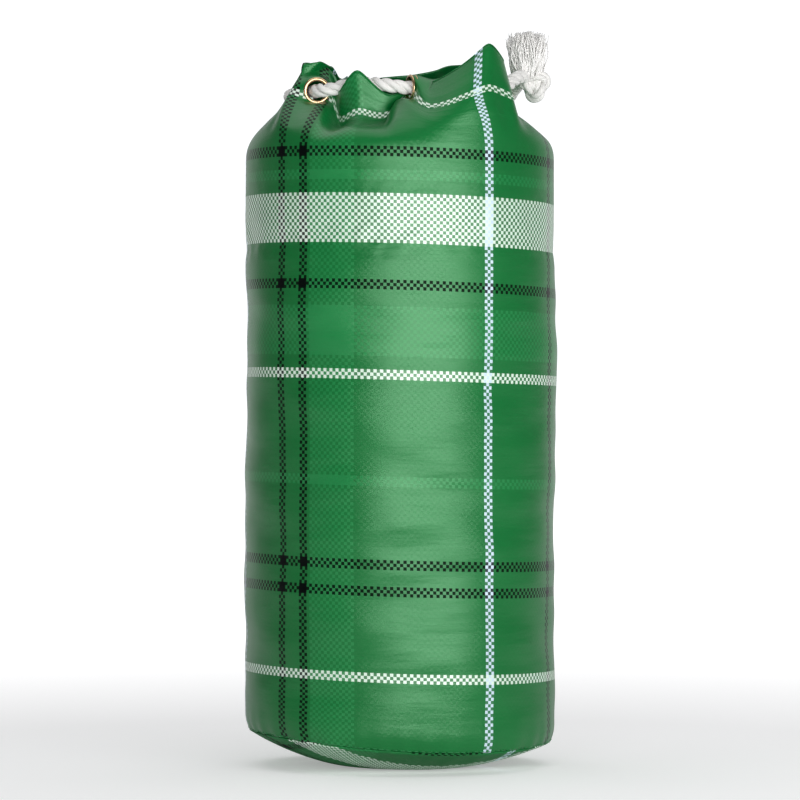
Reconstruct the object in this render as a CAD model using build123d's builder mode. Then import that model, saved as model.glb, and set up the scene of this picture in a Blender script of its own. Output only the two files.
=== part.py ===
"""Rope storage bag: a soft round bag with a gathered mouth, brass eyelets and a laid cotton drawcord.

Frame: +Z up, origin on the floor at the middle of the base, -Y is the front. Millimetres.
Bearings run from the front (-Y) towards +X, seen from above, in degrees.
"""

import math
import os

from build123d import *

# --- driving dimensions ---------------------------------------------------
BAG_RADIUS = 125.0
CLOTH = 1.5
SEAM_HEIGHT = 16.0  # the wall meets the base panel here
REST_RADIUS = 78.0  # flat middle of the base that stands on the floor
SEAM_INSET = 3.0  # the base seam sits this far inside the wall
SEAM_TURN = 9.0  # height over which the wall turns in to the seam
BASE_EDGE = 2.2  # thickness of the base panel where it is sewn
DISH_UNDER = (106.0, 4.6)  # a point half way up the base's curved rim, radius and height
DISH_OVER = (105.0, 6.2)  # the same point on the inner face
COLLAR_BASE = 391.0  # the wall ends and the gathered collar begins
SHOULDER_HEIGHT = 497.0  # the collar is round up to here
PLEAT_HEIGHT = 526.0  # the pleats are fully formed from here up
RIM_HEIGHT = 572.0
EYELET_HEIGHT = 541.0

# The mouth's folds: name, bearing, radius, and how far along the flank that starts there its
# eyelet sits. The broad face between the front corner and the front crest has no eyelet.
FOLDS = [
    ("front crest", 36.0, 120.0, 0.55),
    ("knot valley", 90.0, 82.0, 0.45),
    ("rear right crest", 133.0, 118.0, 0.5),
    ("rear valley", 175.0, 72.0, 0.5),
    ("rear left crest", 215.0, 116.0, 0.5),
    ("left valley", 257.0, 70.0, 0.5),
    ("left crest", 298.0, 102.0, 0.27),
    ("front valley", 357.5, 46.0, 0.5),
    ("front corner", 370.1, 102.6, None),
]
FOLD_FILLET = 9.0

FACING = 1.2
FACING_BOTTOM = 528.0
FACING_TOP = 571.0

BORE_RADIUS = 7.75
BARREL_RADIUS = 8.3
HOLE_RADIUS = 8.5
WASHER_BORE = 8.4
WASHER_RADIUS = 10.6
FLANGE_RADIUS = 10.8
FLANGE_THICKNESS = 1.3
FLANGE_ROUND = 0.6
WASHER_THICKNESS = 0.8
LIP_RADIUS = 9.3
LIP_THICKNESS = 0.7
GAP = 0.05  # hair of clearance between pieces that only touch

CUT_REACH = 8.0  # half length of the cuts through the eyelet stack

CORD_RADIUS = 5.5
CORD_TILT = 13.0  # the cord's slant from square as it passes an eyelet, degrees
KNOT_X = 109.0
KNOT_HEIGHT = 549.0
KNOT_RADIUS = 13.5
LEG_SPREAD = 8.0  # how far each cord leg's end sits from the knot's middle
LEG_STRAIGHT = 3.5  # straight length of each leg as it leaves its eyelet
LEG_STAND_OFF = 1.0  # each leg's end stops this far from the knot
LEG_DROP = 3.0  # and this far below its middle
LEG_FINISH = (0.7, 0.5, 0.2)  # run of a leg's end: outwards, towards the middle, up
TASSEL_BOTTOM_RADIUS = 8.0
TASSEL_TOP_RADIUS = 15.0
TASSEL_LENGTH = 31.0
TASSEL_CLEARANCE = 0.2
TASSEL_LEAN = (2.0, 6.0)  # lean back towards the bag at the tassel's foot and head

BINDING = 1.2
BINDING_HEIGHT = 12.0
BINDING_STAND_OFF = 1.0
SEAM_TAPE_WIDTH = 14.0
SEAM_TAPE_BOTTOM = 40.0
SEAM_TAPE_TOP = 385.0


def at_bearing(radius, bearing, height=0.0):
    angle = math.radians(bearing)
    return Vector(radius * math.sin(angle), -radius * math.cos(angle), height)


def save(builder, name, color):
    builder.part.label = name
    builder.part.color = Color(*color)
    export_step(builder.part, f"parts/{name}.step")


os.makedirs("parts", exist_ok=True)
GREEN = (0.05, 0.42, 0.19)
BRASS = (0.80, 0.60, 0.30)
COTTON = (0.92, 0.91, 0.87)

# --- base panel: a dished disc with a flat middle --------------------------
seam_radius = BAG_RADIUS - SEAM_INSET
base_top = SEAM_HEIGHT - GAP
with BuildPart() as base_panel:
    with BuildSketch(Plane.XZ):
        with BuildLine():
            Line((0, 0), (REST_RADIUS, 0))
            ThreePointArc((REST_RADIUS, 0), DISH_UNDER, (seam_radius, base_top))
            Line((seam_radius, base_top), (seam_radius - BASE_EDGE, base_top))
            ThreePointArc((seam_radius - BASE_EDGE, base_top), DISH_OVER, (REST_RADIUS, CLOTH))
            Line((REST_RADIUS, CLOTH), (0, CLOTH))
            Line((0, CLOTH), (0, 0))
        make_face()
    revolve(axis=Axis.Z)
save(base_panel, "base_panel", GREEN)

# --- wall panel: the round tube of cloth, turned in a little at the seam ----
turn_height = SEAM_HEIGHT + SEAM_TURN
wall_top = COLLAR_BASE - GAP
wall_inner = BAG_RADIUS - CLOTH
with BuildPart() as wall_panel:
    with BuildSketch(Plane.XZ):
        with BuildLine():
            Line((seam_radius, SEAM_HEIGHT), (BAG_RADIUS, turn_height))
            Line((BAG_RADIUS, turn_height), (BAG_RADIUS, wall_top))
            Line((BAG_RADIUS, wall_top), (wall_inner, wall_top))
            Line((wall_inner, wall_top), (wall_inner, turn_height))
            Line((wall_inner, turn_height), (seam_radius - CLOTH, SEAM_HEIGHT))
            Line((seam_radius - CLOTH, SEAM_HEIGHT), (seam_radius, SEAM_HEIGHT))
        make_face()
    revolve(axis=Axis.Z)
save(wall_panel, "wall_panel", GREEN)

# --- binding tape round the raw edge of the base seam, inside the bag ------
binding_radius = seam_radius - CLOTH - BINDING_STAND_OFF
with BuildPart() as base_binding:
    with BuildSketch(Plane.XY.offset(SEAM_HEIGHT + GAP)):
        Circle(binding_radius)
        Circle(binding_radius - BINDING, mode=Mode.SUBTRACT)
    extrude(amount=BINDING_HEIGHT)
save(base_binding, "base_binding", GREEN)

# --- tape over the upright seam at the back, inside the bag ----------------
tape_outer = wall_inner - GAP
with BuildPart() as side_seam_tape:
    with BuildSketch(Plane.XY.offset(SEAM_TAPE_BOTTOM)):
        Circle(tape_outer)
        Circle(tape_outer - BINDING, mode=Mode.SUBTRACT)
        with Locations((0, BAG_RADIUS)):
            Rectangle(SEAM_TAPE_WIDTH, BAG_RADIUS, mode=Mode.INTERSECT)
    extrude(amount=SEAM_TAPE_TOP - SEAM_TAPE_BOTTOM)
save(side_seam_tape, "side_seam_tape", GREEN)

# --- the pleated plan of the mouth: crests and valleys in turn -------------
corners = [at_bearing(radius, bearing) for _, bearing, radius, _ in FOLDS]


def pleated_face(plane, inset=0.0):
    """The mouth's pleated outline on plane, drawn in by inset."""
    with BuildSketch(plane) as sketch:
        with BuildLine():
            Polyline(*[(corner.X, corner.Y) for corner in corners], close=True)
        make_face()
        fillet(sketch.vertices(), FOLD_FILLET)
        if inset:
            offset(amount=-inset, mode=Mode.REPLACE)
    return sketch.sketch


def round_face(height, outline, inset=0.0):
    """The bag's round plan at height, split into arcs that face the edges of a pleated outline."""
    starts = [edge @ 0 for edge in outline.face().outer_wire().order_edges()]
    angles = [math.atan2(point.Y, point.X) for point in starts]
    radius = BAG_RADIUS - inset
    arcs = []
    for begin, end in zip(angles, angles[1:] + angles[:1]):
        turn = math.remainder(end - begin, math.tau)
        stops = [begin + turn * share for share in (0.0, 0.5, 1.0)]
        points = [Vector(radius * math.cos(a), radius * math.sin(a), height) for a in stops]
        arcs.append(Edge.make_three_point_arc(*points))
    return Face(Wire(arcs))


def eyelet_plane(start, end, share):
    """A plane on the outer face of the flank between two folds, with its z pointing out of the cloth."""
    centre = start + (end - start) * share + Vector(0, 0, EYELET_HEIGHT)
    along = (end - start).normalized()
    outward = along.cross(Vector(0, 0, 1))
    return Plane(origin=centre, x_dir=along, z_dir=outward)


eyelet_planes = [
    eyelet_plane(start, end, share)
    for start, end, (_, _, _, share) in zip(corners, corners[1:] + corners[:1], FOLDS)
    if share
]

# --- collar: round at the bottom, pleated at the mouth ---------------------
with BuildPart() as collar_panel:
    for inset, mode in ((0.0, Mode.ADD), (CLOTH, Mode.SUBTRACT)):
        pleats = pleated_face(Plane.XY.offset(PLEAT_HEIGHT), inset)
        foot = round_face(COLLAR_BASE, pleats, inset)
        shoulder = round_face(SHOULDER_HEIGHT, pleats, inset)
        extrude(foot, amount=SHOULDER_HEIGHT - COLLAR_BASE, mode=mode)
        loft([shoulder, pleats], mode=mode)
        extrude(pleats, amount=RIM_HEIGHT - PLEAT_HEIGHT, mode=mode)
    for plane in eyelet_planes:
        with BuildSketch(plane):
            Circle(HOLE_RADIUS)
        extrude(amount=CUT_REACH, both=True, mode=Mode.SUBTRACT)
save(collar_panel, "collar_panel", GREEN)

# --- facing: a second ply inside the rim that the eyelets clamp ------------
with BuildPart() as hem_facing:
    for inset, mode in ((CLOTH + GAP, Mode.ADD), (CLOTH + GAP + FACING, Mode.SUBTRACT)):
        band = pleated_face(Plane.XY.offset(FACING_BOTTOM), inset)
        extrude(band, amount=FACING_TOP - FACING_BOTTOM, mode=mode)
    for plane in eyelet_planes:
        with BuildSketch(plane):
            Circle(HOLE_RADIUS)
        extrude(amount=CUT_REACH, both=True, mode=Mode.SUBTRACT)
save(hem_facing, "hem_facing", GREEN)

# --- brass eyelets and their washers, one set for each flank ---------------
washer_face = -(CLOTH + GAP + FACING + GAP)
for number, plane in enumerate(eyelet_planes, start=1):
    with BuildPart() as eyelet:
        with BuildSketch(plane.offset(GAP)):
            Circle(FLANGE_RADIUS)
        extrude(amount=FLANGE_THICKNESS)
        fillet(eyelet.edges().filter_by(GeomType.CIRCLE), FLANGE_ROUND)
        with BuildSketch(plane.offset(GAP)):
            Circle(BARREL_RADIUS)
        extrude(amount=washer_face - WASHER_THICKNESS - 2 * GAP)
        with BuildSketch(plane.offset(washer_face - WASHER_THICKNESS - GAP)):
            Circle(LIP_RADIUS)
        extrude(amount=-LIP_THICKNESS)
        with BuildSketch(plane):
            Circle(BORE_RADIUS)
        extrude(amount=CUT_REACH, both=True, mode=Mode.SUBTRACT)
    save(eyelet, f"eyelet_{number}", BRASS)

    with BuildPart() as washer:
        with BuildSketch(plane.offset(washer_face)):
            Circle(WASHER_RADIUS)
            Circle(WASHER_BORE, mode=Mode.SUBTRACT)
        extrude(amount=-WASHER_THICKNESS)
    save(washer, f"washer_{number}", BRASS)

# --- drawcord: from the eyelet behind the knot, in and out round the mouth -
cord_points = [plane.offset(washer_face / 2).origin for plane in eyelet_planes]


def passing(index, inward):
    """The way the cord runs through an eyelet, going into the bag or out of it."""
    plane = eyelet_planes[index]
    square = plane.z_dir * (-1 if inward else 1)
    lean = math.radians(CORD_TILT)
    return square * math.cos(lean) + plane.x_dir * math.sin(lean)


visits = [*range(1, len(eyelet_planes)), 0]

with BuildPart() as drawcord:
    with BuildLine() as cord_path:
        for step, (here, there) in enumerate(zip(visits, visits[1:])):
            inward = step % 2 == 0
            Spline(
                cord_points[here],
                cord_points[there],
                tangents=[passing(here, inward), passing(there, not inward)],
            )
    path = cord_path.wire()
    with BuildSketch(Plane(origin=path @ 0, z_dir=path % 0)):
        Circle(CORD_RADIUS)
    sweep(path=path)
save(drawcord, "drawcord", COTTON)

# --- the two cord ends, from the last eyelets to the knot ------------------
first_eyelet = visits[0]
last_eyelet = visits[-1]
legs = {
    "cord_end_rear": (cord_points[first_eyelet], passing(first_eyelet, True) * -1, 1),
    "cord_end_front": (cord_points[last_eyelet], passing(last_eyelet, False), -1),
}
leg_end_x = KNOT_X - KNOT_RADIUS - LEG_STAND_OFF
for name, (start, direction, side) in legs.items():
    begin = start + direction * GAP
    clear = start + direction * LEG_STRAIGHT
    finish = Vector(leg_end_x, side * LEG_SPREAD, KNOT_HEIGHT - LEG_DROP)
    outward, across, upward = LEG_FINISH
    with BuildPart() as cord_end:
        with BuildLine() as leg:
            Line(begin, clear)
            Spline(clear, finish, tangents=[direction, Vector(outward, -side * across, upward)])
        with BuildSketch(Plane(origin=leg.wire() @ 0, z_dir=leg.wire() % 0)):
            Circle(CORD_RADIUS)
        sweep(path=leg.wire())
    save(cord_end, name, COTTON)

# --- the knot, and the frayed tassel above it ------------------------------
with BuildPart() as cord_knot:
    with Locations((KNOT_X, 0, KNOT_HEIGHT)):
        Sphere(KNOT_RADIUS)
save(cord_knot, "cord_knot", COTTON)

tassel_base = KNOT_HEIGHT + KNOT_RADIUS + TASSEL_CLEARANCE
foot_lean, head_lean = TASSEL_LEAN
with BuildPart() as cord_tassel:
    with BuildSketch(Plane.XY.offset(tassel_base)):
        with Locations((KNOT_X - foot_lean, 0)):
            Circle(TASSEL_BOTTOM_RADIUS)
    with BuildSketch(Plane.XY.offset(tassel_base + TASSEL_LENGTH)):
        with Locations((KNOT_X - head_lean, 0)):
            Circle(TASSEL_TOP_RADIUS)
    loft()
save(cord_tassel, "cord_tassel", COTTON)
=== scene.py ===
"""Rope storage bag: the looks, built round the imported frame. Metres, +Z up, -Y is the front.

The bag's cloth is one tube. Each of its points has cloth coordinates: across, the length round the bag
from the middle of the front towards +X, and up, the height along the cloth from the floor. The plaid
is drawn in those coordinates, so it follows every fold.
"""

import math
import random
from contextlib import contextmanager

import bmesh
import bpy
import numpy as np
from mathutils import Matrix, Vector


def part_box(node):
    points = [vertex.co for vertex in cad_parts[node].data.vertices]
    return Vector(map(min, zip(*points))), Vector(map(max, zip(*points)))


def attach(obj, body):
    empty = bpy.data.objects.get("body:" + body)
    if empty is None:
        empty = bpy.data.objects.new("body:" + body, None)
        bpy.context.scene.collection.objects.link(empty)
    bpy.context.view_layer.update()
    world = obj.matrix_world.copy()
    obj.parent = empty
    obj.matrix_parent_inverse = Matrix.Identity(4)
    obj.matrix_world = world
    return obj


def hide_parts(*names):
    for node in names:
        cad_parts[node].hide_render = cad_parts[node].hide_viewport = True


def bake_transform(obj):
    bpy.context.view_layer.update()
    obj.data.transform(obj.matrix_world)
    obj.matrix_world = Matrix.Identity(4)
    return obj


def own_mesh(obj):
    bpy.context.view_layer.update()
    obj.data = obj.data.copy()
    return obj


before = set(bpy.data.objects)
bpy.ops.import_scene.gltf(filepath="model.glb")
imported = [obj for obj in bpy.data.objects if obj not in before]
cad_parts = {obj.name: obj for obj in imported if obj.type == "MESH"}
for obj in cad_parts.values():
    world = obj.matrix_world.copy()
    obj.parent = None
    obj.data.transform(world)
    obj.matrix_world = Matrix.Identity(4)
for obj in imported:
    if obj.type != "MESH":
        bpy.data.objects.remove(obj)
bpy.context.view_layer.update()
MM = 0.001

# --- the bag, from the frame ---
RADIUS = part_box("wall_panel")[1].x
GIRTH = 2 * math.pi * RADIUS
SEAM_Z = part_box("wall_panel")[0].z
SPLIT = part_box("collar_panel")[0].z
EYELET_Z = (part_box("eyelet_1")[0].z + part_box("eyelet_1")[1].z) / 2

# --- the cloth ---
COLUMNS = 172  # squares of the cloth's mesh round the bag
RIM_UP = 595 * MM  # the cloth's height, measured along it
RIM_DROP = 31 * MM  # from the rim down to the eyelets
EYELET_UP = RIM_UP - RIM_DROP
GATHER_UP = 490 * MM  # where it starts to draw in
CLOTH = 0.9 * MM  # its thickness
EYELET_TOP = 1.35 * MM  # the eyelet's flange stands this far above the cloth
PATCH = 11 * MM  # the cloth is clamped flat this far from an eyelet's middle
PATCH_FADE = 8 * MM  # and comes free over this much more
HOLE = 9.2 * MM  # radius of the hole cut for an eyelet
HOLE_SLIP = 0.05 * MM  # points of the cloth this near the hole's edge are on it
UP = np.array([0, 0, 1.0])


def mm(*values):
    return np.array(values, float) * MM


def smooth_step(t):
    t = np.clip(t, 0, 1)
    return t * t * (3 - 2 * t)


def hermite(t, start, start_pull, end, end_pull):
    """Points on a smooth line at the shares t, with a pull at each of its ends."""
    return (
        (2 * t**3 - 3 * t**2 + 1) * start
        + (t**3 - 2 * t**2 + t) * start_pull
        + (3 * t**2 - 2 * t**3) * end
        + (t**3 - t**2) * end_pull
    )


def lengths_along(points):
    """The length of a line of points up to each of them."""
    return np.concatenate([[0], np.cumsum(np.linalg.norm(np.diff(points, axis=0), axis=1))])


def outward_at(angle):
    """The directions away from the bag's axis, at angles from the front towards +X."""
    return np.stack([np.sin(angle), -np.cos(angle), np.zeros_like(angle)], axis=1)


def places_at(at, where, places, period=None):
    """Places at lengths along a line, worked out from the known ones at the lengths where."""
    return np.stack([np.interp(at, where, places[:, k], period=period) for k in range(3)], axis=-1)


def ring_point(radius, angle, height):
    """A point round the bag's axis, at an angle from the front towards +X."""
    return (radius * math.sin(angle), -radius * math.cos(angle), height)


def from_eyelet(middle, across, up):
    """How far each point is from an eyelet's middle: round the cloth, the short way, up it, and straight."""
    round_it = (across - middle + GIRTH / 2) % GIRTH - GIRTH / 2
    rise = up - EYELET_UP
    return round_it, rise, np.hypot(round_it, rise)


class Eyelet:
    """Where a CAD eyelet clamps the cloth: its centre on the cloth's outer face, the way along the cloth
    and the way out of it."""

    def __init__(self, number):
        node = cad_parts[f"eyelet_{number}"]
        points = np.array([v.co for v in node.data.vertices], float)
        low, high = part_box(node.name)
        middle = np.array((low + high) / 2)
        spread = points - points.mean(0)
        outward = np.linalg.svd(spread, full_matrices=False)[2][2]
        outward[2] = 0
        outward /= np.linalg.norm(outward)
        reach = (points - middle) @ outward
        across = np.linalg.norm((points - middle) - np.outer(reach, outward), axis=1)
        if reach[across > across.max() * 0.99].mean() < 0:
            outward = -outward
            reach = -reach
        self.outward = outward
        self.centre = middle + outward * (reach.max() - EYELET_TOP)
        self.along = np.array([-outward[1], outward[0], 0])


EYELETS = {number: Eyelet(number) for number in range(1, 9)}

# --- the gathered mouth ---
FRONT_ACROSS = {8: 12 * MM, 1: 134 * MM, 7: GIRTH - 88 * MM}  # how far round the cloth these eyelets are
LEFT_CREST = (-90, -48, 541)  # the fold between eyelets 6 and 7, in mm
CREST_TO_EYELET = 24 * MM  # the cloth's way from that fold to eyelet 7
FOLD_SPREAD = 7 * MM  # half the width of a back fold's crest
FOLD_CLOTH = 8 * MM  # the cloth that half of it takes up


def bearing_point(bearing, radius, height):
    return mm(*ring_point(radius, math.radians(bearing), height))


# Guides for the cloth between two eyelets, in mm.
FRONT_FOLDS = [
    # how far round the cloth, place at the eyelets' height, place at the rim
    (-107, (-88, -44, 544), (-77, -33, 562)),
    (-70, (-50, -50, 528), (-50, -50, 548)),
    (-64, (-49, -57, 520), (-50, -58, 535)),
    (-58, (-47, -65, 518), (-49, -68, 536)),
    (-50, (-41, -75, 522), (-43, -76, 546)),
    (-43, (-34, -80, 527), (-35, -80, 558)),
    (-32, (-25, -80, 524), (-27, -80, 549)),
    (-20, (-17, -79, 522), (-16, -80, 538)),
    (-9, (-5, -75, 524), (-5, -76, 530)),
    (28, (18, -99, 526), (19, -82, 542)),
    (46, (36, -106, 530), (37, -87, 550)),
    (66, (54, -106, 538), (56, -89, 563)),
    (86, (71, -99, 547), (71, -91, 577)),
    (106, (92, -74, 538), (86, -69, 559)),
]
BACK_FOLDS = [
    # the eyelet before it, bearing, radius, height at the eyelets' height, inward lean at the rim
    (1, 90.0, 82.0, 535.0, 0.0),
    (2, 133.0, 118.0, 545.0, 0.45),
    (3, 175.0, 72.0, 533.0, 0.5),
    (4, 215.0, 116.0, 541.0, 1.2),
    (5, 257.0, 70.0, 531.0, 0.9),
]
# How far the rim above an eyelet leans into the bag, before and after the eyelet.
RIM_LEANS = {
    1: (0.4, 0.4), 3: (0.0, 0.2), 4: (1.0, 1.5), 5: (1.2, 1.1), 6: (0.9, 0.8), 7: (0.75, 1.15), 8: (2.4, 2.4),
}  # fmt: skip


def eyelet_across():
    """How far round the cloth each eyelet sits: shares of the slack left by the folds between them."""
    across = dict(FRONT_ACROSS)
    gaps = []
    for before, bearing, radius, _, _ in BACK_FOLDS:
        fold = bearing_point(bearing, radius, EYELET_Z / MM)
        ends = [EYELETS[before].centre, EYELETS[before + 1].centre]
        gaps.append(sum(np.linalg.norm(fold - end) for end in ends))
    last = np.linalg.norm(EYELETS[6].centre - mm(*LEFT_CREST)) + CREST_TO_EYELET
    slack = (across[7] - across[1] - sum(gaps) - last) / (len(gaps) + 1)
    for before, gap in enumerate(gaps, start=1):
        across[before + 1] = across[before] + gap + slack
    return across


ACROSS = eyelet_across()


def guide_curves():
    """The lengths round the cloth, a millimetre apart, and there its places at the eyelets and the rim."""
    rows = []
    for number, e in EYELETS.items():
        for step, lean in zip((-PATCH, PATCH), RIM_LEANS.get(number, (0.0, 0.0))):
            course = UP - e.outward * lean
            course *= RIM_DROP / np.linalg.norm(course)
            place = e.centre + e.along * step
            rows.append((ACROSS[number] + step, place, place + course))
    for across, neck, rim in FRONT_FOLDS:
        rows.append((across * MM, mm(*neck), mm(*rim)))
    for before, bearing, radius, height, lean in BACK_FOLDS:
        neck = bearing_point(bearing, radius, height)
        radial = neck * [1, 1, 0] / np.linalg.norm(neck[:2])
        course = UP - radial * lean
        rim = neck + course / np.linalg.norm(course) * RIM_DROP
        middle = (ACROSS[before] + ACROSS[before + 1]) / 2
        for side in (-1, 1):
            spread = np.cross(UP, radial) * side * FOLD_SPREAD
            rows.append((middle + side * FOLD_CLOTH, neck + spread, rim + spread))
    rows = sorted((row[0] % GIRTH, *row[1:]) for row in rows)
    where = [row[0] for row in rows]
    fine = np.arange(0, GIRTH, MM)
    curves = (places_at(fine, where, np.array([row[kind] for row in rows]), GIRTH) for kind in (1, 2))
    return fine, *(smooth_loop(curve, 4) for curve in curves)


def smooth_loop(curve, spread):
    """A closed line of points, smoothed over a spread of that many of them."""
    reach = np.arange(-3 * spread, 3 * spread + 1)
    weights = np.exp(-0.5 * (reach / spread) ** 2)
    weights /= weights.sum()
    return sum(w * np.roll(curve, -r, axis=0) for r, w in zip(reach, weights))


def gathered_shape(across, up):
    """Where each cloth point sits when the mouth is gathered, before the cloth settles."""
    fine, *curves = guide_curves()
    neck, rim = (places_at(across, fine, curve, GIRTH) for curve in curves)
    tube = tube_shape(across, up)
    foot = tube_shape(across, np.full_like(up, GATHER_UP))
    course = rim - neck
    course /= np.linalg.norm(course, axis=1, keepdims=True)
    length = EYELET_UP - GATHER_UP
    t = np.clip((up - GATHER_UP) / length, 0, 1)[:, None]
    start_pull = np.array([0, 0, 1.2 * length])
    end_pull = (course * 0.75 + np.array([0, 0, 0.1])) * length
    blend = hermite(t, foot, start_pull, neck, end_pull)
    above = np.clip((up - EYELET_UP) / RIM_DROP, 0, 1)[:, None]
    place = blend + (rim - neck) * above
    low = (up <= GATHER_UP)[:, None]
    return np.where(low, tube, place)


def tube_shape(across, up):
    angle = across / RADIUS
    return np.stack([RADIUS * np.sin(angle), -RADIUS * np.cos(angle), up], axis=1)


def clamp_to_eyelets(across, up, place):
    """The cloth round each eyelet lies flat in its plane. Returns the places and how firmly each is held."""
    hold = np.zeros(len(across))
    for number, e in EYELETS.items():
        round_it, rise, distance = from_eyelet(ACROSS[number], across, up)
        flat = e.centre - e.outward * CLOTH / 2 + np.outer(round_it, e.along) + np.outer(rise, UP)
        weight = 1 - smooth_step((distance - PATCH) / PATCH_FADE)
        place = place + (flat - place) * weight[:, None]
        hold = np.maximum(hold, weight)
    return place, hold


def ring_faces(rings, around):
    """Squares between rings of points that follow one another, each with as many points around."""
    faces = []
    for ring in range(rings - 1):
        for k in range(around):
            a = ring * around + k
            b = ring * around + (k + 1) % around
            faces.append((a, b, b + around, a + around))
    return faces


def cloth_grid():
    """The bag's cloth as a tube of squares, with the corners near each eyelet drawn on to its hole."""
    step = GIRTH / COLUMNS
    count = round((RIM_UP - SEAM_Z) / step)
    ups = SEAM_Z + (RIM_UP - SEAM_Z) * np.arange(count + 1) / count
    across, up = np.meshgrid(np.arange(COLUMNS) * step - GIRTH / 2, ups)
    across, up = across.ravel(), up.ravel()
    for middle in ACROSS.values():
        round_it, rise, distance = from_eyelet(middle, across, up)
        near = (distance > HOLE - step * 0.5) & (distance < HOLE + step * 0.55)
        pull = np.where(near, HOLE / np.maximum(distance, 1e-6) - 1, 0)
        across = across + round_it * pull
        up = up + rise * pull
    return across, up, ring_faces(count + 1, COLUMNS)


# --- settling the cloth ---
SETTLE_FROM = 400 * MM  # cloth height above which the cloth settles
SETTLE_FRAMES = 20
SETTLE_SETTINGS = {
    "quality": 8, "mass": 0.02, "tension_stiffness": 25, "compression_stiffness": 25, "shear_stiffness": 8,
    "bending_stiffness": 0.08, "tension_damping": 15, "compression_damping": 15, "shear_damping": 15,
    "air_damping": 4, "vertex_group_mass": "hold", "pin_stiffness": 1, "use_pressure": True,
    "uniform_pressure_force": 1.8, "vertex_group_pressure": "push",
}  # fmt: skip
# Points of the rim that are held: how far round the cloth in mm, and how firmly.
RIM_PINS = [
    (-107, 0.6), (-70, 0.6), (-61, 0.8), (-50, 0.8), (-43, 1.0),
    (-9, 0.5), (28, 0.5), (46, 0.7), (66, 0.7), (86, 1.0),
]  # fmt: skip


def holds_and_push(across, up, eyelet_hold):
    """How firmly each cloth point keeps its place, and how much the contents push it out."""
    hold = np.maximum(eyelet_hold, 0.03 * smooth_step((up - GATHER_UP) / (30 * MM)))
    hold = np.where(up < SETTLE_FROM + 8 * MM, 1.0, hold)
    for middle, strength in RIM_PINS:
        from_pin = np.hypot(across - middle * MM, (up - RIM_UP) * 0.7)
        hold = np.maximum(hold, strength * (1 - smooth_step((from_pin - 3 * MM) / (4 * MM))))
    push = smooth_step((up - SETTLE_FROM) / (80 * MM))
    push *= 1 - smooth_step((up - (EYELET_UP - 45 * MM)) / (30 * MM))
    return hold, push


def settle(across, up, faces, places, eyelet_hold):
    """Lets the gathered cloth settle: the flat tube gives its lengths, the eyelets clamp it."""
    top = np.nonzero(up >= SETTLE_FROM)[0]
    first = top[0]
    kept = [[v - first for v in face] for face in faces if min(face) >= first]
    mesh = bpy.data.meshes.new("settling_cloth")
    mesh.from_pydata(places[top].tolist(), [], kept)
    cloth_object = new_object("settling_cloth", mesh)
    cloth_object.shape_key_add(name="gathered")
    rest = cloth_object.shape_key_add(name="tube")
    flat = tube_shape(across[top], up[top])
    rest.data.foreach_set("co", flat.astype(np.float32).ravel())
    hold, push = holds_and_push(across[top], up[top], eyelet_hold[top])
    for name, values in (("hold", hold), ("push", push)):
        group = cloth_object.vertex_groups.new(name=name)
        for index, value in enumerate(values):
            if value > 0:
                group.add([index], float(value), "REPLACE")
    cloth = cloth_object.modifiers.new("cloth", "CLOTH")
    for key, value in SETTLE_SETTINGS.items():
        setattr(cloth.settings, key, value)
    cloth.settings.rest_shape_key = rest
    cloth.settings.effector_weights.gravity = 0.3
    cloth.collision_settings.use_collision = False
    cloth.point_cache.frame_end = SETTLE_FRAMES
    scene = bpy.context.scene
    scene.frame_end = SETTLE_FRAMES
    for number in range(1, SETTLE_FRAMES + 1):
        scene.frame_set(number)
    settled = cloth_object.evaluated_get(bpy.context.evaluated_depsgraph_get())
    moved = np.zeros(len(top) * 3)
    settled.data.vertices.foreach_get("co", moved)
    scene.frame_set(1)
    bpy.data.objects.remove(cloth_object)
    places = places.copy()
    places[top] = moved.reshape(-1, 3)
    return places


# --- mesh helpers ---
def new_object(name, data):
    made = bpy.data.objects.new(name, data)
    bpy.context.scene.collection.objects.link(made)
    return made


def make_object(name, points, faces, material, uvs=None):
    """A mesh object. uvs gives a (u, v) pair for each point."""
    mesh = bpy.data.meshes.new(name)
    mesh.from_pydata([tuple(p) for p in points], [], faces)
    mesh.materials.append(material)
    if uvs is not None:
        layer = mesh.uv_layers.new(name="cloth")
        for polygon in mesh.polygons:
            for loop, vertex in zip(polygon.loop_indices, polygon.vertices):
                layer.data[loop].uv = uvs[vertex]
    mesh.polygons.foreach_set("use_smooth", [True] * len(mesh.polygons))
    return new_object(name, mesh)


def apply_modifiers(target):
    """Replaces the object's mesh by what its modifiers make of it."""
    graph = bpy.context.evaluated_depsgraph_get()
    final = bpy.data.meshes.new_from_object(target.evaluated_get(graph))
    target.modifiers.clear()
    old = target.data
    target.data = final
    bpy.data.meshes.remove(old)
    return target


def join_seam(mesh):
    """Cloth coordinates run on past the back of the bag instead of jumping, on the faces that cross it."""
    layer = mesh.uv_layers["cloth"]
    for polygon in mesh.polygons:
        loops = list(polygon.loop_indices)
        across = [layer.data[loop].uv[0] for loop in loops]
        if max(across) - min(across) > GIRTH / 2:
            for loop, value in zip(loops, across):
                if value < 0:
                    layer.data[loop].uv[0] = value + GIRTH


def course_frames(points):
    """Directions along, and two across, at each point of a smooth line, without any twist."""
    along = np.gradient(points, axis=0)
    along /= np.linalg.norm(along, axis=1, keepdims=True)
    side = np.cross(along[0], [0, 0, 1.0])
    if np.linalg.norm(side) < 0.1:
        side = np.cross(along[0], [0, 1.0, 0])
    sides = []
    for direction in along:
        side = side - direction * side.dot(direction)
        side /= np.linalg.norm(side)
        sides.append(side)
    sides = np.array(sides)
    return along, sides, np.cross(along, sides)


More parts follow.
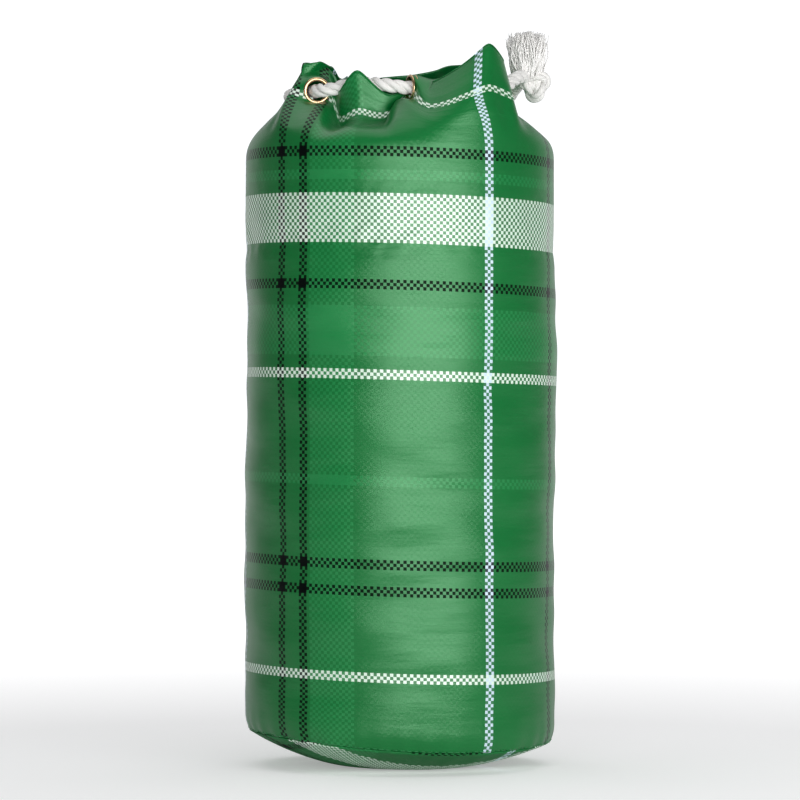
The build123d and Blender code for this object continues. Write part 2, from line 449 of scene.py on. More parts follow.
def tube(points, radii, around):
    """Points, faces and (round, along) coordinates of a round tube that follows a line of points."""
    _, sides, ups = course_frames(points)
    turns = np.linspace(0, 2 * math.pi, around, endpoint=False)
    rings = (
        points[:, None]
        + np.cos(turns)[None, :, None] * sides[:, None] * radii[:, None, None]
        + np.sin(turns)[None, :, None] * ups[:, None] * radii[:, None, None]
    )
    lengths = lengths_along(points)
    uvs = [(turn / (2 * math.pi), length) for length in lengths for turn in turns]
    faces = ring_faces(len(points), around)
    faces.append(tuple(reversed(range(around))))
    faces.append(tuple(range((len(points) - 1) * around, len(points) * around)))
    return rings.reshape(-1, 3), faces, uvs


def object_of_parts(name, parts, material):
    """One object out of several meshes, each given as points, faces and (u, v) pairs."""
    points, faces, uvs = [], [], []
    for part_points, part_faces, part_uvs in parts:
        start = len(points)
        points.extend(part_points)
        uvs.extend(part_uvs)
        faces.extend(tuple(v + start for v in face) for face in part_faces)
    return make_object(name, points, faces, material, uvs)


def resample(points, spacing):
    lengths = lengths_along(points)
    count = max(4, round(lengths[-1] / spacing))
    return places_at(np.linspace(0, lengths[-1], count + 1), lengths, points)


def stretch_of_line(start, start_pull, end, end_pull):
    """A smooth stretch of line, without its last point."""
    t = np.linspace(0, 1, 24, endpoint=False)[:, None]
    return hermite(t, start, start_pull, end, end_pull)


@contextmanager
def edited(piece):
    """The piece's mesh as a bmesh, which is written back at the end of the block."""
    work = bmesh.new()
    work.from_mesh(piece.data)
    yield work
    work.to_mesh(piece.data)
    work.free()


def thicken(piece, thickness, offset):
    thick = piece.modifiers.new("thick", "SOLIDIFY")
    thick.thickness = thickness
    thick.offset = offset
    return thick


# --- materials ---
def srgb(red, green, blue):
    def linear(value):
        value /= 255
        return value / 12.92 if value <= 0.04045 else ((value + 0.055) / 1.055) ** 2.4

    return (linear(red), linear(green), linear(blue), 1)


class Nodes:
    """A short way to write a material's nodes."""

    def __init__(self, name):
        self.material = bpy.data.materials.new(name)
        self.material.use_nodes = True
        self.tree = self.material.node_tree
        self.shader = self.tree.nodes["Principled BSDF"]

    def add(self, kind, inputs=None, **settings):
        node = self.tree.nodes.new(kind)
        for key, value in settings.items():
            setattr(node, key, value)
        for key, value in (inputs or {}).items():
            self.feed(node.inputs[key], value)
        return node

    def feed(self, socket, value):
        if isinstance(value, bpy.types.NodeSocket):
            self.tree.links.new(value, socket)
        else:
            socket.default_value = value

    def math(self, operation, *values):
        node = self.add("ShaderNodeMath", operation=operation)
        for socket, value in zip(node.inputs, values):
            self.feed(socket, value)
        return node.outputs[0]

    def mix(self, factor, first, second):
        node = self.add("ShaderNodeMix", data_type="RGBA")
        # a mix node has its colour sockets after the ones for plain numbers and vectors
        self.feed(node.inputs[0], factor)
        self.feed(node.inputs[6], first)
        self.feed(node.inputs[7], second)
        return node.outputs[2]

    def object_place(self):
        return self.add("ShaderNodeTexCoord").outputs["Object"]

    def noise(self, scale, detail, place):
        pattern = {"Scale": scale, "Detail": detail, "Vector": place}
        return self.add("ShaderNodeTexNoise", pattern).outputs["Fac"]

    def bump(self, height, strength, distance, below=None):
        node = self.add("ShaderNodeBump", {"Height": height, "Strength": strength, "Distance": distance})
        if below is not None:
            self.feed(node.inputs["Normal"], below)
        return node.outputs["Normal"]

    def set(self, **values):
        for key, value in values.items():
            self.feed(self.shader.inputs[key.replace("_", " ")], value)
        return self.material


CELL = GIRTH / 302  # the plaid's smallest square
THREAD_PITCH = 0.65 * MM
GREEN = srgb(6, 106, 47)
MID_GREEN = srgb(22, 126, 64)
WARP_WHITE = srgb(206, 228, 242)
WEFT_WHITE = srgb(224, 244, 228)
BLACK = srgb(5, 10, 9)
GRAIN_SLOPE = 3.6 * MM  # how far the level stripes sink at the right side and rise at the left
YARN_SLANT = 140.0  # turns round its strand that a cotton yarn makes in a metre
# Stripes as (middle in mm, width in cells, colour): upright ones by length round the bag, level ones by
# height along the cloth.
UPRIGHT_STRIPES = [
    (-372, 3, BLACK), (-340, 3, BLACK), (-300, 15, MID_GREEN), (-240, 3, WARP_WHITE),
    (-183, 3, WARP_WHITE), (-105.6, 3, BLACK), (-82.2, 3, BLACK), (-55, 15, MID_GREEN),
    (73.7, 3, WARP_WHITE), (157, 3, BLACK), (215, 15, MID_GREEN), (262, 3, BLACK), (330, 3, WARP_WHITE),
]  # fmt: skip
LEVEL_STRIPES = [
    (77, 3, WEFT_WHITE), (144, 3, BLACK), (164.3, 3, BLACK), (229.5, 3, MID_GREEN), (313, 3, WEFT_WHITE),
    (348.4, 15, MID_GREEN), (383.5, 3, BLACK), (435.7, 15, WEFT_WHITE), (469, 3, MID_GREEN),
    (486.5, 3, BLACK), (557.5, 3, WEFT_WHITE),
]  # fmt: skip


def stripe_colour(nodes, cell_number, stripes):
    """The colour of a column or row of the plaid, from its cell number."""
    colour = GREEN
    for middle, width, stripe in stripes:
        first = round(middle * MM / CELL - width / 2)
        inside = nodes.math("COMPARE", cell_number, first + (width - 1) / 2, width / 2 - 0.25)
        colour = nodes.mix(inside, colour, stripe)
    return colour


def stretched_noise(nodes, across, up, rounds, climbs, detail):
    """Noise over the cloth, with its own scale round the bag and up it."""
    round_it = nodes.math("MULTIPLY", across, rounds)
    climb = nodes.math("MULTIPLY", up, climbs)
    place = nodes.add("ShaderNodeCombineXYZ", {"X": round_it, "Y": climb})
    return nodes.noise(1.0, detail, place.outputs["Vector"])


def cloth_relief(nodes, across, up, odd):
    """Soft creases, faint level wrinkles, then threads that run round the bag in odd squares, else up it."""
    turns = 2 * math.pi / THREAD_PITCH
    threads = [nodes.math("SINE", nodes.math("MULTIPLY", way, turns)) for way in (across, up)]
    weave = nodes.mix(odd, *threads)
    wrinkles = stretched_noise(nodes, across, up, 9.0, 55.0, 4.0)
    normal = nodes.bump(stretched_noise(nodes, across, up, 11.0, 24.0, 2.0), 0.3, 0.006)
    normal = nodes.bump(wrinkles, 0.35, 0.0025, normal)
    return nodes.bump(weave, 0.12, 0.0002, normal)


def plaid_material(name, least_roughness):
    nodes = Nodes(name)
    uv = nodes.add("ShaderNodeUVMap", uv_map="cloth").outputs["UV"]
    split = nodes.add("ShaderNodeSeparateXYZ", {"Vector": uv})
    across, up = split.outputs["X"], split.outputs["Y"]
    column = nodes.math("FLOOR", nodes.math("DIVIDE", across, CELL))
    bearing = nodes.math("DIVIDE", across, RADIUS)
    level = nodes.math("MULTIPLY_ADD", nodes.math("SINE", bearing), GRAIN_SLOPE, up)
    row = nodes.math("FLOOR", nodes.math("DIVIDE", level, CELL))
    warp = stripe_colour(nodes, column, UPRIGHT_STRIPES)
    weft = stripe_colour(nodes, row, LEVEL_STRIPES)
    odd = nodes.math("FLOORED_MODULO", nodes.math("ADD", column, row), 2.0)
    colour = nodes.mix(odd, warp, weft)
    colour = nodes.mix(0.1, colour, nodes.mix(0.5, warp, weft))
    patches = nodes.noise(14.0, 2.0, uv)
    slubs = stretched_noise(nodes, across, up, 60.0, 2200.0, 1.0)
    lightness = nodes.math("MULTIPLY_ADD", patches, 0.22, 0.89)
    lightness = nodes.math("MULTIPLY", lightness, nodes.math("MULTIPLY_ADD", slubs, 0.16, 0.92))
    shade = nodes.add("ShaderNodeHueSaturation", {"Color": colour, "Value": lightness}).outputs["Color"]
    # satin shines in a paler tint of its own dyed yarns, and black yarns are matt
    tint = nodes.add("ShaderNodeGamma", {"Color": shade, "Gamma": 0.3}).outputs["Color"]
    paler = {"Color": tint, "Hue": 0.455, "Saturation": 0.62, "Value": 1.42}
    grey = nodes.add("ShaderNodeRGBToBW", {"Color": colour}).outputs["Val"]
    return nodes.set(
        Base_Color=shade,
        Roughness=nodes.math("MULTIPLY_ADD", patches, 0.1, least_roughness),
        Normal=cloth_relief(nodes, across, up, odd),
        Specular_IOR_Level=nodes.math("MINIMUM", nodes.math("MULTIPLY_ADD", grey, 8.0, 0.15), 1.0),
        Specular_Tint=nodes.add("ShaderNodeHueSaturation", paler).outputs["Color"],
    )


def tape_material():
    nodes = Nodes("woven_tape")
    pattern = {"Scale": 420.0, "Distortion": 0.6, "Vector": nodes.object_place()}
    ribs = nodes.add("ShaderNodeTexWave", pattern, bands_direction="Z").outputs["Fac"]
    colour = nodes.mix(ribs, srgb(10, 62, 32), srgb(18, 88, 46))
    normal = nodes.bump(ribs, 0.5, 0.0003)
    return nodes.set(Base_Color=colour, Roughness=0.85, Sheen_Weight=0.2, Normal=normal)


def thread_material():
    nodes = Nodes("seam_thread")
    fuzz = nodes.noise(2600.0, 2.0, nodes.object_place())
    colour = nodes.mix(fuzz, srgb(12, 100, 48), srgb(30, 142, 74))
    return nodes.set(Base_Color=colour, Roughness=0.6, Sheen_Weight=0.2, Normal=nodes.bump(fuzz, 0.4, 0.0001))


def brass_material():
    nodes = Nodes("brass")
    place = nodes.object_place()
    wear = nodes.noise(180.0, 5.0, place)
    scratches = nodes.bump(nodes.noise(1500.0, 2.0, place), 0.08, 0.0001)
    colour = nodes.mix(wear, srgb(212, 168, 122), srgb(242, 214, 176))
    roughness = nodes.math("MULTIPLY_ADD", wear, 0.25, 0.12)
    return nodes.set(Base_Color=colour, Metallic=1.0, Roughness=roughness, Normal=scratches)


def cotton_material(name, light, shadow, yarns):
    """Soft cotton whose yarns run slantwise round each strand, drawn in the strand's own coordinates, with
    painted shade in the grooves between the yarns.
    """
    nodes = Nodes(name)
    uv = nodes.add("ShaderNodeUVMap", uv_map="cloth")
    split = nodes.add("ShaderNodeSeparateXYZ", {"Vector": uv.outputs["UV"]})
    slant = nodes.math("MULTIPLY_ADD", split.outputs["Y"], YARN_SLANT, split.outputs["X"])
    yarn = nodes.math("SINE", nodes.math("MULTIPLY", slant, 2 * math.pi * yarns))
    yarn = nodes.math("MULTIPLY_ADD", yarn, 0.5, 0.5)
    fuzz = nodes.noise(1900.0, 4.0, nodes.object_place())
    # painted shade: the yarn wave gives the grooves between yarns the shadow colour and the yarn crowns the
    # light one; the fuzz adds random tone
    lightness = nodes.math("MULTIPLY_ADD", yarn, 0.55, nodes.math("MULTIPLY", fuzz, 0.45))
    colour = nodes.mix(lightness, shadow, light)
    normal = nodes.bump(yarn, 0.45, 0.0004)
    normal = nodes.bump(fuzz, 0.35, 0.0003, normal)
    return nodes.set(
        Base_Color=colour, Roughness=0.9, Sheen_Weight=0.35, Sheen_Roughness=0.5, Specular_IOR_Level=0.2,
        Subsurface_Weight=0.08, Subsurface_Radius=(0.004, 0.004, 0.004), Subsurface_Scale=0.3, Normal=normal,
    )  # fmt: skip


PLAID = plaid_material("plaid_cloth", 0.25)
BASE_PLAID = plaid_material("plaid_base_cloth", 0.6)  # scuffed dull by standing
TAPE = tape_material()
THREAD = thread_material()
BRASS = brass_material()
# the second colour of each cotton is painted shade for the grooves between its yarns
ROPE = cotton_material("laid_cotton", srgb(250, 249, 247), srgb(222, 220, 216), 7)
FRAY = cotton_material("frayed_cotton", srgb(252, 251, 249), srgb(236, 234, 231), 2)


def stand_for(node):
    """The piece takes the place of a CAD node, which is hidden."""
    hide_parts(node)


def bend_with_mouth(piece):
    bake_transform(piece)


def crumple_with_wall(piece):
    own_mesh(piece)


# --- the bag's cloth ---
# Swells of the filled wall as (size in mm, waves round the bag, climb per metre of height, phase).
SWELLS = [(0.9, 3, 9, 0), (0.7, 5, -23, 1.3), (0.45, 2, 71, 0.6), (0.3, 7, 118, 2.1), (0.2, 4, -173, 4.0)]


def rumple(across, up, places):
    """Gentle unevenness of the filled wall."""
    angle = across / RADIUS
    swell = sum(size * np.sin(waves * angle + climb * up + phase) for size, waves, climb, phase in SWELLS)
    share = smooth_step((up - SEAM_Z) / (60 * MM))
    share *= 1 - smooth_step((up - SETTLE_FROM + 30 * MM) / (30 * MM))
    return places + outward_at(angle) * (swell * share * MM)[:, None]


def seam_height(angle):
    """The base seam isn't level: it rides up at the bag's sides."""
    return SEAM_Z + MM * (6 - 4.5 * np.sin(angle) * (1 + 0.6 * np.cos(angle)) - 2.5 * np.cos(2 * angle))


def seam_puckers(angle):
    """The cloth's small puckers at the base seam, from -1 to 1."""
    return np.sin(34 * angle + 2 * np.sin(5 * angle))


def turn_in_foot(across, up, places):
    """The wall curves in to the base seam, with small puckers."""
    angle = across / RADIUS
    lift = (seam_height(angle) - SEAM_Z) * (1 - smooth_step((up - SEAM_Z) / (70 * MM)))
    places = places + np.outer(lift, [0, 0, 1.0])
    inset = 3.6 * MM * (1 - np.clip((up - SEAM_Z) / (14 * MM), 0, 1)) ** 2
    pucker = 0.7 * MM * seam_puckers(angle) * np.exp(-(up - SEAM_Z) / (9 * MM))
    return places + outward_at(angle) * (pucker - inset)[:, None]


across, up, faces = cloth_grid()
places, eyelet_hold = clamp_to_eyelets(across, up, gathered_shape(across, up))
places = settle(across, up, faces, places, eyelet_hold)
places = turn_in_foot(across, up, rumple(across, up, places))


def plaid_object(name, points, faces, across, up):
    """A sheet of the cloth with a hole at each eyelet, to be made one step finer."""
    nearest = np.full(len(across), np.inf)
    for middle in ACROSS.values():
        nearest = np.minimum(nearest, from_eyelet(middle, across, up)[2])
    clear = nearest > HOLE + HOLE_SLIP
    kept = [face for face in faces if any(clear[v] for v in face)]
    made = make_object(name, points, kept, PLAID, list(zip(across, up)))
    join_seam(made.data)
    made.modifiers.new("finer", "SUBSURF").levels = 1
    return made


cloth = plaid_object("cloth", places, faces, across, up)
cloth.modifiers["finer"].boundary_smooth = "PRESERVE_CORNERS"
apply_modifiers(cloth)


def part_of_cloth(name, keep):
    """A thick piece of the cloth: the faces whose middle height along the cloth passes keep."""
    piece = new_object(name, cloth.data.copy())
    piece.data.name = name
    with edited(piece) as work:
        layer = work.loops.layers.uv["cloth"]
        heights = ((f, sum(loop[layer].uv[1] for loop in f.loops) / len(f.loops)) for f in work.faces)
        bmesh.ops.delete(work, geom=[f for f, height in heights if not keep(height)], context="FACES")
    thicken(piece, CLOTH, -1).use_even_offset = False
    apply_modifiers(piece)
    # the cut edge's faces come apart from the cloth's own, or the shading would round the cut over
    with edited(piece) as work:
        level = (f for f in work.faces if abs(f.normal.z) > 0.7)
        cut = {f for f in level if abs(f.calc_center_median().z - SPLIT) < 5 * MM}
        edges = [e for e in work.edges if len(cut.intersection(e.link_faces)) == 1]
        bmesh.ops.split_edges(work, edges=edges)
    return piece


wall = part_of_cloth("wall_cloth", lambda height: height < SPLIT)
collar = part_of_cloth("collar_cloth", lambda height: height > SPLIT)
stand_for("wall_panel")
stand_for("collar_panel")
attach(wall, "bag_body")
crumple_with_wall(wall)
bend_with_mouth(collar)
bpy.data.objects.remove(cloth)

# --- the hem: a rolled edge and a second ply inside the mouth ---
HEM_DEPTH = 44 * MM
HEM_GAP = 1.7 * MM  # between the middles of the two plies


def inward_normals(grid):
    round_it = np.roll(grid, -1, axis=1) - np.roll(grid, 1, axis=1)
    rise = np.gradient(grid, axis=0)
    normals = np.cross(rise, round_it)
    return normals / np.linalg.norm(normals, axis=2, keepdims=True)


def build_hem():
    """Rolls the cloth's own edge over and carries it down inside, following the settled cloth."""
    hem_rows = round(HEM_DEPTH / (GIRTH / COLUMNS))
    grid = places.reshape(-1, COLUMNS, 3)[-hem_rows - 2 :]
    grid_across, grid_up = (way.reshape(-1, COLUMNS) for way in (across, up))
    inward = inward_normals(grid)
    edge = grid[-1]
    lift = edge - grid[-2]
    lift /= np.linalg.norm(lift, axis=1, keepdims=True)
    sheet = []
    for turn in np.linspace(0, math.pi, 5):
        rolled = edge + (inward[-1] * (1 - math.cos(turn)) + lift * math.sin(turn)) * HEM_GAP / 2
        sheet.append((rolled, grid_across[-1], grid_up[-1] + turn * HEM_GAP / 2))
    for row in range(2, hem_rows + 2):
        sheet.append((grid[-row] + inward[-row] * HEM_GAP, grid_across[-row], grid_up[-row]))
    points, flat_across, flat_up = (np.concatenate(rows) for rows in zip(*sheet))
    faces = [(a, d, c, b) for a, b, c, d in ring_faces(len(sheet), COLUMNS)]
    hem = plaid_object("hem", points, faces, flat_across, flat_up)
    thicken(hem, 0.7 * MM, 0)
    return apply_modifiers(hem)


hem = build_hem()
stand_for("hem_facing")
bend_with_mouth(hem)

# --- the laid cord ---
CORD = 5.6 * MM
STRANDS = 3
STRAND = 2.75 * MM
LAY = 30 * MM  # length of one full turn of the strands
CORD_DEPTH = 1.4 * MM  # from the cloth's outer face in to where the cord crosses an eyelet's axis
CORD_STEP = 1.5 * MM  # between the rings of a strand's mesh
LEAN = math.tan(math.radians(13))  # how far the cord slants as it goes through an eyelet
KNOT_MIDDLE = np.array(sum(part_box("cord_knot"), Vector()) / 2)


def through(number, inward):
    """The cord's middle in an eyelet, and the way it runs there."""
    e = EYELETS[number]
    course = e.along * LEAN + e.outward * (-1 if inward else 1)
    return e.centre - e.outward * CORD_DEPTH, course / np.linalg.norm(course)


# Where the cord is bent on its way between two eyelets: a place and a pull in mm.
CORD_BENDS = {
    (7, 8): [
        ((-55, -59, 541), (20, -5, 3)),
        ((-33, -64.5, 545.5), (24, -7, 0)),
        ((-7, -77.5, 542.5), (20, -1, -3)),
    ],
}


def cord_line(visits):
    """A smooth line through the eyelets in turn, first into the bag, then out, and so on."""
    pieces = []
    for step, (here, there) in enumerate(zip(visits, visits[1:])):
        inward = step % 2 == 0
        start, start_way = through(here, inward)
        end, end_way = through(there, not inward)
        bends = [(mm(*place), mm(*pull)) for place, pull in CORD_BENDS.get((here, there), [])]
        reach = np.linalg.norm(end - start) * (0.5 if bends else 1.0)
        stops = [(start, start_way * reach), *bends, (end, end_way * reach)]
        for (a, a_pull), (b, b_pull) in zip(stops, stops[1:]):
            scale = np.linalg.norm(b - a)
            pulls = [p / np.linalg.norm(p) * scale for p in (a_pull, b_pull)]
            pieces.append(stretch_of_line(a, pulls[0], b, pulls[1]))
    pieces.append(end[None])
    return resample(np.concatenate(pieces), CORD_STEP)


def laid_cord(line, radius):
    """Strands twisted together along a line, each a round tube."""
    lengths = lengths_along(line)
    _, sides, ups = course_frames(line)
    strand = STRAND * radius / CORD
    offset = radius - strand
    parts = []
    for k in range(STRANDS):
        turn = 2 * math.pi * (k / STRANDS + lengths / LAY)
        centre = line + (sides * np.cos(turn)[:, None] + ups * np.sin(turn)[:, None]) * offset
        parts.append(tube(centre, np.full(len(line), strand), around=12))
    return parts


def cord_piece(name, line, node, radius=CORD):
    piece = object_of_parts(name, laid_cord(line, radius), ROPE)
    stand_for(node)
    return piece


drawcord = cord_piece("laid_drawcord", cord_line([2, 3, 4, 5, 6, 7, 8, 1]), "drawcord")
bend_with_mouth(drawcord)


def leg_line(number, inward, side):
    start, way = through(number, inward)
    if inward:
        way = -way
    finish = KNOT_MIDDLE + mm(-6, side * 4, 4)
    clear = start + way * 5 * MM
    bend = stretch_of_line(clear, way * 26 * MM + mm(0, 0, 24), finish, mm(16, -side * 16, -20))
    return resample(np.concatenate([start[None], bend, finish[None]]), CORD_STEP)


def stretch_leg(piece):
    """The leg's place is baked into its mesh."""
    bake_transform(piece)


front_leg = cord_piece("laid_cord_end_front", leg_line(1, False, -1), "cord_end_front")
rear_leg = cord_piece("laid_cord_end_rear", leg_line(2, True, 1), "cord_end_rear")
stretch_leg(front_leg)
stretch_leg(rear_leg)


def knot_line():
    """A tight overhand knot: the cord crosses over and under itself three times."""
    t = np.linspace(0, 2 * math.pi, 160)
    across, depth, rise = np.sin(t) + 2 * np.sin(2 * t), 1.75 * np.sin(3 * t), np.cos(t) - 2 * np.cos(2 * t)
    place = np.stack([across, depth, rise], axis=1)
    return resample(place * 3.05 * MM + KNOT_MIDDLE, 1.2 * MM)


knot = cord_piece("overhand_knot", knot_line(), "cord_knot", radius=5.1 * MM)
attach(knot, "knot")

TASSEL_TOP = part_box("cord_tassel")[1].z
TASSEL_RADIUS = 11  # mm, where the yarns leave the knot
YARNS = 520
# Where bunches of yarns lean, in mm from the tassel's middle.
CLUMPS = [mm(-6, -3, 0), mm(4, -6, 0), mm(6, 3, 0), mm(-2, 6, 0), mm(0, -1, 0)]


def yarn_line(rng, foot):
    """One loose yarn of the frayed end: it rises from the knot in a soft, ragged bunch."""
    turn = rng.uniform(0, 2 * math.pi)
    spread = math.sqrt(rng.uniform(0, 1))
    away = mm(math.cos(turn), math.sin(turn), 0)
    root = foot + away * TASSEL_RADIUS * spread + mm(0, 0, rng.uniform(-4, 2))
    height = (TASSEL_TOP - root[2]) * (1 - 0.45 * rng.random() ** 2 - 0.08 * spread)
    clump = min(CLUMPS, key=lambda c: np.linalg.norm(away[:2] * TASSEL_RADIUS * spread - c[:2]))
    lean = away * 1.5 * spread + clump * 0.3 + mm(rng.gauss(0, 1.8), rng.gauss(0, 1.8), 0)
    t = np.linspace(0, 1, 10)[:, None]
    line = root + lean * np.sqrt(t) + np.array([0, 0, height]) * t
    wave = (rng.uniform(0, 6.28), rng.uniform(0, 6.28))
    share = t[:, 0]
    line[:, 0] += 1.5 * MM * np.sin(share * 9 + wave[0]) * share
    line[:, 1] += 1.5 * MM * np.cos(share * 8 + wave[1]) * share
    return line


def tassel_piece():
    rng = random.Random(11)
    foot = KNOT_MIDDLE + mm(-6, 0, 8)
    parts = []
    for _ in range(YARNS):
        line = yarn_line(rng, foot)
        width = rng.uniform(0.55, 0.85) * MM
        radii = width * np.concatenate([np.ones(6), np.linspace(0.95, 0.3, len(line) - 6)])
        parts.append(tube(line, radii, around=5))
    return object_of_parts("frayed_tassel", parts, FRAY)


tassel = tassel_piece()
stand_for("cord_tassel")
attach(tassel, "tassel")

# --- brass eyelets and washers ---
def turned_ring(name, profile, e, around=64):
    """A ring turned round the eyelet's axis. The profile is (radius, height out of the cloth) pairs in mm."""
    points = []
    up_way = np.cross(e.outward, e.along)
    for k in range(around):
        turn = 2 * math.pi * k / around
        away = e.along * math.cos(turn) + up_way * math.sin(turn)
        for radius, height in profile:
            points.append(e.centre + (away * radius + e.outward * height) * MM)
    faces = [tuple(v % len(points) for v in face) for face in ring_faces(around + 1, len(profile))]
    return make_object(name, points, faces, BRASS)


def roll(inner, outer, height, steps=9):
    """A half-round bead from the inner radius to the outer, standing on the cloth."""
    middle, half = (inner + outer) / 2, (outer - inner) / 2
    turns = np.linspace(math.pi, 0, steps)
    return [(middle + half * math.cos(t), 0.05 + height * math.sin(t)) for t in turns]


EYELET_PROFILE = [
    (7.85, -4.7), (7.8, -2), *roll(7.8, 10.7, 1.25),
    (8.2, 0.02), (8.2, -3.7), (9.2, -3.75), (9.25, -4.2), (8.6, -4.6),
]  # fmt: skip
WASHER_PROFILE = [(8.4, -2.85), (10.2, -2.85), (10.55, -3.1), (10.5, -3.5), (10.1, -3.6), (8.4, -3.6)]

for number, e in EYELETS.items():
    for kind, profile in (("eyelet", EYELET_PROFILE), ("washer", WASHER_PROFILE)):
        ring = turned_ring(f"rolled_{kind}_{number}", profile, e)
        stand_for(f"{kind}_{number}")
        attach(ring, f"eyelet_set_{number}")

# --- the base ---
BASE_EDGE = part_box("base_panel")[1].x
FLAT = 45 * MM  # radius of the base's flat middle
PLAID_TURN = math.radians(20)  # the base is cut on the slant
PLAID_SHIFT = (20 * MM, 505 * MM)


def base_places(rings, spokes):
    """The base panel: flat in the middle, rounded up to its seam, gathered in small puckers at the edge."""
    points, uvs = [], []
    for ring in range(rings + 1):
        share = ring / rings
        radius = (BASE_EDGE - 0.3 * MM) * share
        rise = np.clip((radius - FLAT) / (BASE_EDGE - FLAT), 0, 1)
        for spoke in range(spokes):
            angle = 2 * math.pi * spoke / spokes
            pucker = math.sin(41 * angle + 2 * math.sin(6 * angle)) * 0.6 * MM * rise**2
            sag = 1.2 * MM * math.sin(2 * angle + 0.7) * math.sin(math.pi * rise)
            z = (seam_height(angle) - 0.3 * MM) * rise**1.7 + pucker * (1 - rise**8) - sag
            points.append(ring_point(radius, angle, max(0.2 * MM, z)))
            x, y, _ = points[-1]
            turned = x * math.cos(PLAID_TURN) + y * math.sin(PLAID_TURN)
            rest = y * math.cos(PLAID_TURN) - x * math.sin(PLAID_TURN)
            uvs.append((turned + PLAID_SHIFT[0], rest + PLAID_SHIFT[1]))
    return points, uvs


def build_base():
    rings, spokes = 30, 288
    points, uvs = base_places(rings, spokes)
    # the first ring is all one point in the middle, so its faces are triangles
    faces = [(d, a, c) if a < spokes else (a, b, c, d) for a, b, c, d in ring_faces(rings + 1, spokes)]
    base = make_object("base_cloth", points, faces, BASE_PLAID, uvs)
    with edited(base) as work:
        bmesh.ops.remove_doubles(work, verts=work.verts, dist=0.01 * MM)
    thicken(base, CLOTH, -1)
    return apply_modifiers(base)


base = build_base()
stand_for("base_panel")
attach(base, "bag_body")

# --- seams: stitches and tapes ---
STITCH_SHARE = 0.66  # how much of its pitch a stitch covers


def stitch(start, end, outward, radius):
    """One stitch: a short thread that rises out of the cloth and goes back in."""
    t = np.linspace(0, 1, 6)
    lift = np.sin(t * math.pi) * radius * 1.3 - radius * 0.6
    line = start + (end - start) * t[:, None] + outward * lift[:, None]
    return tube(line, np.full(6, radius), around=6)


def stitched_line(name, line, outwards, pitch, radius=0.38 * MM):
    """Stitches along a closed line."""
    lengths = lengths_along(line)
    count = round(lengths[-1] / pitch)
    parts = []
    for k in range(count):
        ends = np.array([k, k + STITCH_SHARE]) * lengths[-1] / count
        a, b = places_at(ends, lengths, line)
        outward = places_at(ends.mean(), lengths, outwards)
        parts.append(stitch(a, b, outward / np.linalg.norm(outward), radius))
    piece = object_of_parts(name, parts, THREAD)
    return piece


def seam_ring(radius, height):
    angle = np.linspace(0, 2 * math.pi, 721)
    out = outward_at(angle)
    line = out * (radius + 0.5 * MM * seam_puckers(angle))[:, None]
    line[:, 2] = seam_height(angle) + height
    return line, out


base_line, base_out = seam_ring(RADIUS - 3.2 * MM, 1.2 * MM)
base_stitches = stitched_line("base_seam_stitches", base_line, base_out, 5.5 * MM)
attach(base_stitches, "bag_body")


def hem_line():
    """A closed line round the cloth just above the hem's lower edge, and the way out of the cloth there."""
    row_heights = np.unique(np.round(up.reshape(-1, COLUMNS)[:, 0], 6))
    row = int(np.argmin(abs(row_heights - (RIM_UP - HEM_DEPTH + 3 * MM))))
    grid = places.reshape(-1, COLUMNS, 3)
    inward = inward_normals(grid[row - 1 : row + 2])[1]
    out = -np.concatenate([inward, inward[:1]])
    line = np.concatenate([grid[row], grid[row, :1]])
    return line + out * CLOTH * 0.1, out


hem_stitches = stitched_line("hem_stitches", *hem_line(), 4.2 * MM, 0.3 * MM)
bend_with_mouth(hem_stitches)


def ring_tape(name, node, radius, low, high, first, last, steps, lift=0):
    """A tape standing inside the bag along an arc. With lift 1 it follows the base seam up and down."""
    thickness = 0.8 * MM
    outline = [(0, low), (thickness, low), (thickness, high), (0, high)]
    points = []
    for angle in np.linspace(first, last, steps):
        ripple = 0.25 * MM * math.sin(23 * angle)
        rise = lift * (seam_height(angle) - SEAM_Z)
        for depth, height in outline:
            points.append(ring_point(radius - depth + ripple, angle, height + rise))
    faces = ring_faces(steps, len(outline))
    if not math.isclose(last - first, 2 * math.pi):
        faces.append((3, 2, 1, 0))
        faces.append(tuple(len(points) - 4 + j for j in range(4)))
    tape = make_object(name, points, faces, TAPE)
    edge = tape.modifiers.new("edge", "BEVEL")
    edge.width = 0.25 * MM
    edge.segments = 2
    apply_modifiers(tape)
    stand_for(node)
    return tape


low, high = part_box("base_binding")
radius = high.x - 2 * MM
base_tape = ring_tape("base_seam_tape", "base_binding", radius, low.z, high.z, 0, 2 * math.pi, 241, lift=1)
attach(base_tape, "bag_body")

low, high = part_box("side_seam_tape")
half_turn = math.asin(high.x / RADIUS)
ends = (math.pi - half_turn, math.pi + half_turn)
radius = high.y - CLOTH * 0.6
side_tape = ring_tape("upright_seam_tape", "side_seam_tape", radius, low.z, high.z, *ends, 9)
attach(side_tape, "bag_body")
crumple_with_wall(side_tape)

# --- the studio ---
def floor_material():
    """Pale paper that fades to white away from the bag."""
    nodes = Nodes("pale_floor")
    grain = nodes.add("ShaderNodeTexNoise", {"Scale": 40.0, "Detail": 3.0}).outputs["Fac"]
    shade = nodes.mix(grain, (0.85, 0.85, 0.86, 1), (0.88, 0.88, 0.89, 1))
    length = nodes.add("ShaderNodeVectorMath", {0: nodes.object_place()}, operation="LENGTH")
    away = length.outputs["Value"]
    fade = {"Value": away, "From Min": 0.5, "From Max": 3.0, "To Min": 0.33, "To Max": 1.1}
    glow = nodes.add("ShaderNodeMapRange", fade).outputs["Result"]
    # the camera sees the whole glow, and the bag's reflections only a fifth of it
    seen = nodes.add("ShaderNodeLightPath").outputs["Is Camera Ray"]
    glow = nodes.math("MULTIPLY", glow, nodes.math("MULTIPLY_ADD", seen, 0.8, 0.2))
    return nodes.set(Base_Color=shade, Roughness=0.8, Emission_Color=(1, 1, 1, 1), Emission_Strength=glow)


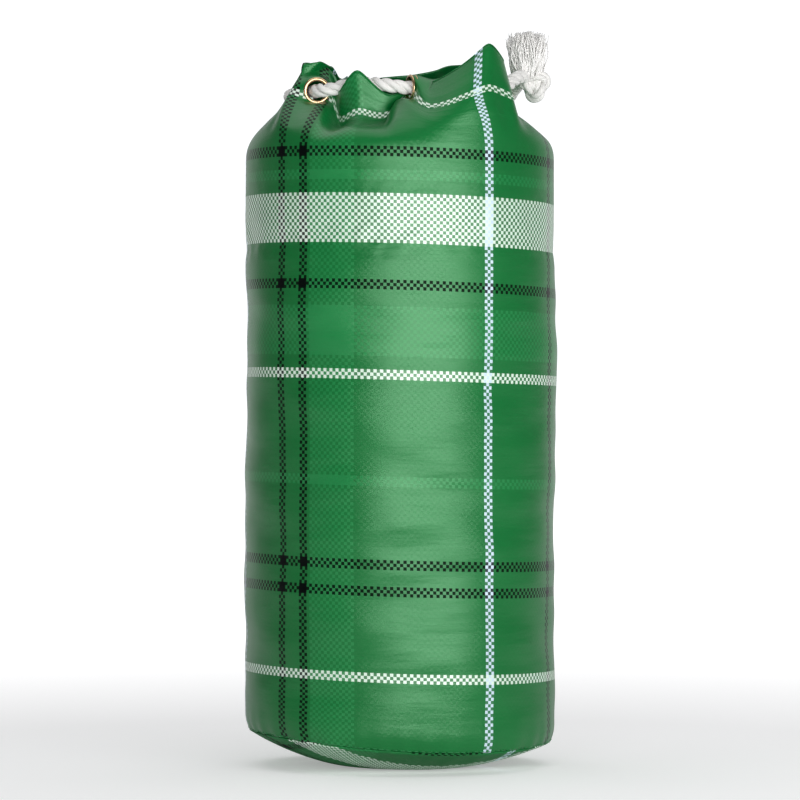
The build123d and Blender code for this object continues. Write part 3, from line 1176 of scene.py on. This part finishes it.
def build_studio():
    """A wide, level, pale floor."""
    reach = 30.0
    points = [(-reach, -reach, 0), (reach, -reach, 0), (reach, reach, 0), (-reach, reach, 0)]
    floor = make_object("studio_floor", points, [(0, 1, 2, 3)], floor_material())


def area_light(name, bearing, distance, height, width, tall, power):
    """A rectangular soft light at a bearing round the bag from the front, towards +X, aimed at its middle."""
    light = bpy.data.lights.new(name, "AREA")
    light.shape = "RECTANGLE"
    light.size = width
    light.size_y = tall
    light.energy = power
    lamp = new_object(name, light)
    lamp.location = ring_point(distance, math.radians(bearing), height)
    lamp.rotation_euler = (lamp.location - Vector((0, 0, 0.3))).to_track_quat("Z", "Y").to_euler()
    lamp.visible_camera = False


def build_lights():
    # name, bearing in degrees, distance, height, width and breadth in metres, power in watts
    area_light("front_softbox", 17, 2.2, 0.45, 3.0, 1.0, 48)
    area_light("left_rear_softbox", -150, 2.6, 0.8, 1.6, 1.5, 4)
    area_light("right_rear_softbox", 150, 2.6, 0.8, 1.6, 1.5, 4)
    area_light("top_softbox", 180, 0.4, 2.8, 3.6, 3.6, 34)


def build_world():
    """A white background for the camera, and only a dim fill for the light on the bag."""
    world = bpy.data.worlds.new("studio")
    bpy.context.scene.world = world
    world.use_nodes = True
    tree = world.node_tree
    background = tree.nodes["Background"]
    background.inputs["Color"].default_value = (0.97, 0.98, 1.0, 1)
    path = tree.nodes.new("ShaderNodeLightPath")
    strength = tree.nodes.new("ShaderNodeMapRange")
    strength.inputs["To Min"].default_value = 0.15
    strength.inputs["To Max"].default_value = 1.15
    tree.links.new(path.outputs["Is Camera Ray"], strength.inputs["Value"])
    tree.links.new(strength.outputs["Result"], background.inputs["Strength"])


def build_camera():
    camera = bpy.data.cameras.new("camera")
    camera.lens = 183.6
    camera.sensor_width = 36
    camera.shift_y = 0.031
    eye = new_object("camera", camera)
    eye.location = (0, -3.3, 0.2746)
    eye.rotation_euler = (math.pi / 2, 0, 0)
    bpy.context.scene.camera = eye


build_studio()
build_lights()
build_world()
build_camera()
bpy.context.scene.view_settings.view_transform = "Standard"
